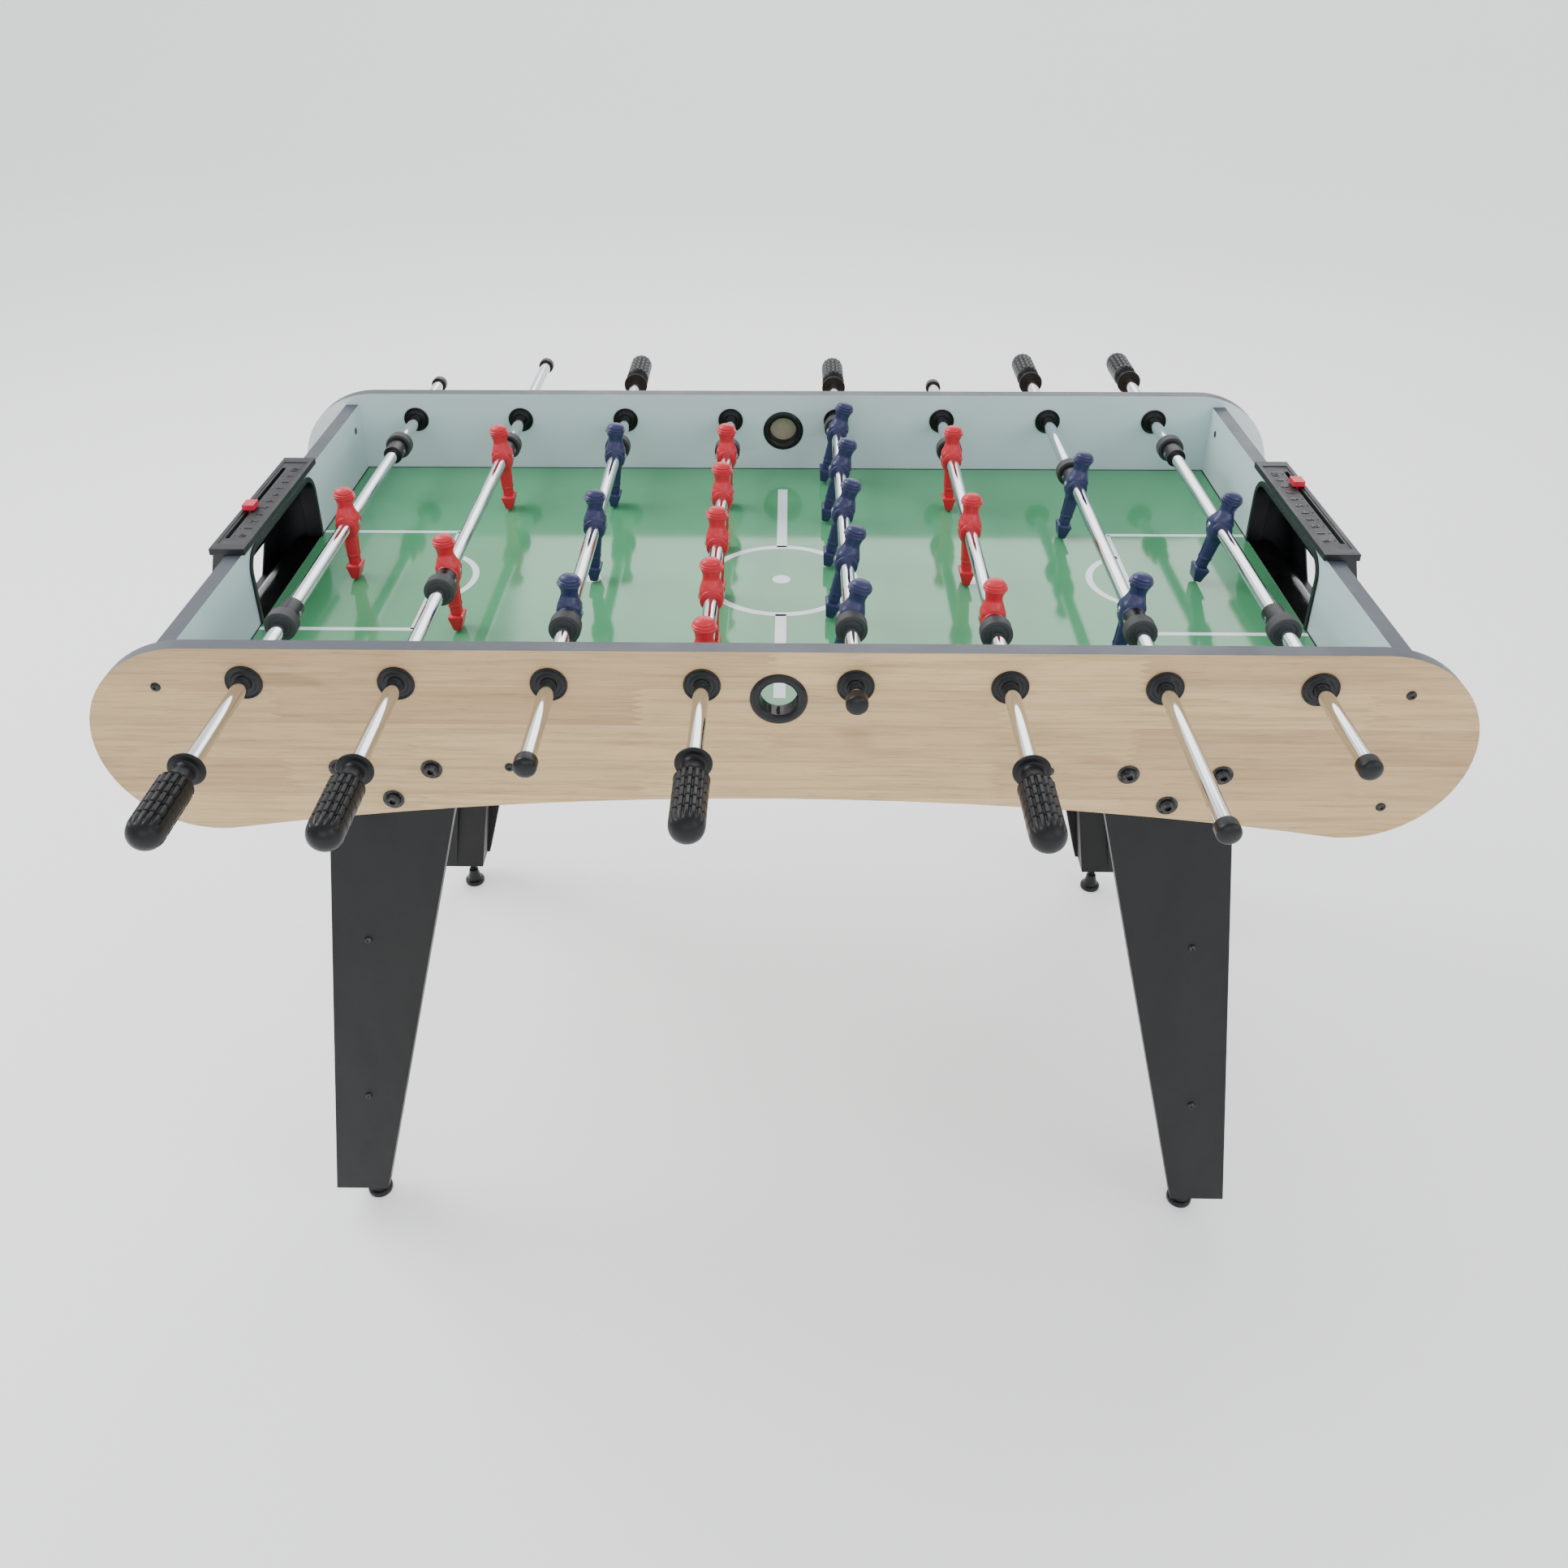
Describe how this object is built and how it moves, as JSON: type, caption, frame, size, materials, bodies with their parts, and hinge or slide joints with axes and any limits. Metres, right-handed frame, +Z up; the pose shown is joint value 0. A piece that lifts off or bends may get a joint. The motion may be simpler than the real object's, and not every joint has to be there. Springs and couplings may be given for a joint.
{
  "type": "foosball table",
  "caption": "Free-standing table football game with sliding, spinning player rods, goals with score rails, arched side panels and splayed tapered legs.",
  "frame": {"origin": "on the floor under the middle of the table", "axes": "+X along the table towards the right-hand goal, +Y across it towards the far player, +Z up"},
  "size_m": [1.3859, 1.246, 0.8635],
  "materials": {
    "oak_board": "satin lacquered light oak strips",
    "playfield_green": "glossy printed laminate",
    "black_board": "black laminated board",
    "chrome_tube": "chrome plated steel",
    "red_figure": "satin moulded plastic",
    "navy_figure": "satin moulded plastic",
    "black_plastic": "moulded, fine grain",
    "grey_rubber": "moulded rubber",
    "red_marker": "satin moulded plastic",
    "black_steel": "black oxide"
  },
  "bodies": {
    "table": {"front_panel": "oak_board", "back_panel": "oak_board", "left_end_panel": "oak_board", "right_end_panel": "oak_board", "playfield": "playfield_green", "front_left_leg": "black_board", "front_right_leg": "black_board", "back_left_leg": "black_board", "back_right_leg": "black_board", "left_goal": "black_plastic", "right_goal": "black_plastic", "rod_bearings": "black_plastic", "ball_inlets": "black_plastic", "fasteners": "black_steel"},
    "front_left_levelling_foot": {"front_left_foot": "black_plastic"},
    "front_right_levelling_foot": {"front_right_foot": "black_plastic"},
    "back_left_levelling_foot": {"back_left_foot": "black_plastic"},
    "back_right_levelling_foot": {"back_right_foot": "black_plastic"},
    "left_marker": {"left_score_marker": "red_marker"},
    "right_marker": {"right_score_marker": "red_marker"},
    "rod_1_carriage": {"rod_1_bumpers": "grey_rubber"},
    "rod_1_assembly": {"rod_1_tube": "chrome_tube", "rod_1_men": "red_figure", "rod_1_fittings": "black_plastic", "rod_1_handle": "black_plastic"},
    "rod_2_carriage": {"rod_2_bumpers": "grey_rubber"},
    "rod_2_assembly": {"rod_2_tube": "chrome_tube", "rod_2_men": "red_figure", "rod_2_fittings": "black_plastic", "rod_2_handle": "black_plastic"},
    "rod_3_carriage": {"rod_3_bumpers": "grey_rubber"},
    "rod_3_assembly": {"rod_3_tube": "chrome_tube", "rod_3_men": "navy_figure", "rod_3_fittings": "black_plastic", "rod_3_handle": "black_plastic"},
    "rod_4_carriage": {"rod_4_bumpers": "grey_rubber"},
    "rod_4_assembly": {"rod_4_tube": "chrome_tube", "rod_4_men": "red_figure", "rod_4_fittings": "black_plastic", "rod_4_handle": "black_plastic"},
    "rod_5_carriage": {"rod_5_bumpers": "grey_rubber"},
    "rod_5_assembly": {"rod_5_tube": "chrome_tube", "rod_5_men": "navy_figure", "rod_5_fittings": "black_plastic", "rod_5_handle": "black_plastic"},
    "rod_6_carriage": {"rod_6_bumpers": "grey_rubber"},
    "rod_6_assembly": {"rod_6_tube": "chrome_tube", "rod_6_men": "red_figure", "rod_6_fittings": "black_plastic", "rod_6_handle": "black_plastic"},
    "rod_7_carriage": {"rod_7_bumpers": "grey_rubber"},
    "rod_7_assembly": {"rod_7_tube": "chrome_tube", "rod_7_men": "navy_figure", "rod_7_fittings": "black_plastic", "rod_7_handle": "black_plastic"},
    "rod_8_carriage": {"rod_8_bumpers": "grey_rubber"},
    "rod_8_assembly": {"rod_8_tube": "chrome_tube", "rod_8_men": "navy_figure", "rod_8_fittings": "black_plastic", "rod_8_handle": "black_plastic"}
  },
  "joints": [
    {"name": "front_left_foot_height", "type": "slide", "parent": "table", "child": "front_left_levelling_foot", "axis": [0, 0, 1], "range_m": [0, 0.012]},
    {"name": "front_right_foot_height", "type": "slide", "parent": "table", "child": "front_right_levelling_foot", "axis": [0, 0, 1], "range_m": [0, 0.012]},
    {"name": "back_left_foot_height", "type": "slide", "parent": "table", "child": "back_left_levelling_foot", "axis": [0, 0, 1], "range_m": [0, 0.012]},
    {"name": "back_right_foot_height", "type": "slide", "parent": "table", "child": "back_right_levelling_foot", "axis": [0, 0, 1], "range_m": [0, 0.012]},
    {"name": "left_score_slide", "type": "slide", "parent": "table", "child": "left_marker", "axis": [0, 1, 0], "range_m": [-0.0756, 0.1196]},
    {"name": "right_score_slide", "type": "slide", "parent": "table", "child": "right_marker", "axis": [0, 1, 0], "range_m": [-0.1596, 0.0356]},
    {"name": "rod_1_slide", "type": "slide", "parent": "table", "child": "rod_1_carriage", "axis": [0, 1, 0], "range_m": [-0.088, 0.088]},
    {"name": "rod_1_spin", "type": "hinge", "parent": "rod_1_carriage", "child": "rod_1_assembly", "pos_m": [-0.525, 0, 0.8175], "axis": [0, 1, 0], "continuous": true},
    {"name": "rod_2_slide", "type": "slide", "parent": "table", "child": "rod_2_carriage", "axis": [0, 1, 0], "range_m": [-0.168, 0.088]},
    {"name": "rod_2_spin", "type": "hinge", "parent": "rod_2_carriage", "child": "rod_2_assembly", "pos_m": [-0.375, 0, 0.8175], "axis": [0, 1, 0], "continuous": true},
    {"name": "rod_3_slide", "type": "slide", "parent": "table", "child": "rod_3_carriage", "axis": [0, 1, 0], "range_m": [-0.085, 0.091]},
    {"name": "rod_3_spin", "type": "hinge", "parent": "rod_3_carriage", "child": "rod_3_assembly", "pos_m": [-0.225, 0, 0.8175], "axis": [0, 1, 0], "continuous": true},
    {"name": "rod_4_slide", "type": "slide", "parent": "table", "child": "rod_4_carriage", "axis": [0, 1, 0], "range_m": [-0.002, 0.102]},
    {"name": "rod_4_spin", "type": "hinge", "parent": "rod_4_carriage", "child": "rod_4_assembly", "pos_m": [-0.075, 0, 0.8175], "axis": [0, 1, 0], "continuous": true},
    {"name": "rod_5_slide", "type": "slide", "parent": "table", "child": "rod_5_carriage", "axis": [0, 1, 0], "range_m": [-0.088, 0.016]},
    {"name": "rod_5_spin", "type": "hinge", "parent": "rod_5_carriage", "child": "rod_5_assembly", "pos_m": [0.075, 0, 0.8175], "axis": [0, 1, 0], "continuous": true},
    {"name": "rod_6_slide", "type": "slide", "parent": "table", "child": "rod_6_carriage", "axis": [0, 1, 0], "range_m": [-0.079, 0.097]},
    {"name": "rod_6_spin", "type": "hinge", "parent": "rod_6_carriage", "child": "rod_6_assembly", "pos_m": [0.225, 0, 0.8175], "axis": [0, 1, 0], "continuous": true},
    {"name": "rod_7_slide", "type": "slide", "parent": "table", "child": "rod_7_carriage", "axis": [0, 1, 0], "range_m": [-0.083, 0.173]},
    {"name": "rod_7_spin", "type": "hinge", "parent": "rod_7_carriage", "child": "rod_7_assembly", "pos_m": [0.375, 0, 0.8175], "axis": [0, 1, 0], "continuous": true},
    {"name": "rod_8_slide", "type": "slide", "parent": "table", "child": "rod_8_carriage", "axis": [0, 1, 0], "range_m": [-0.088, 0.088]},
    {"name": "rod_8_spin", "type": "hinge", "parent": "rod_8_carriage", "child": "rod_8_assembly", "pos_m": [0.525, 0, 0.8175], "axis": [0, 1, 0], "continuous": true}
  ]
}
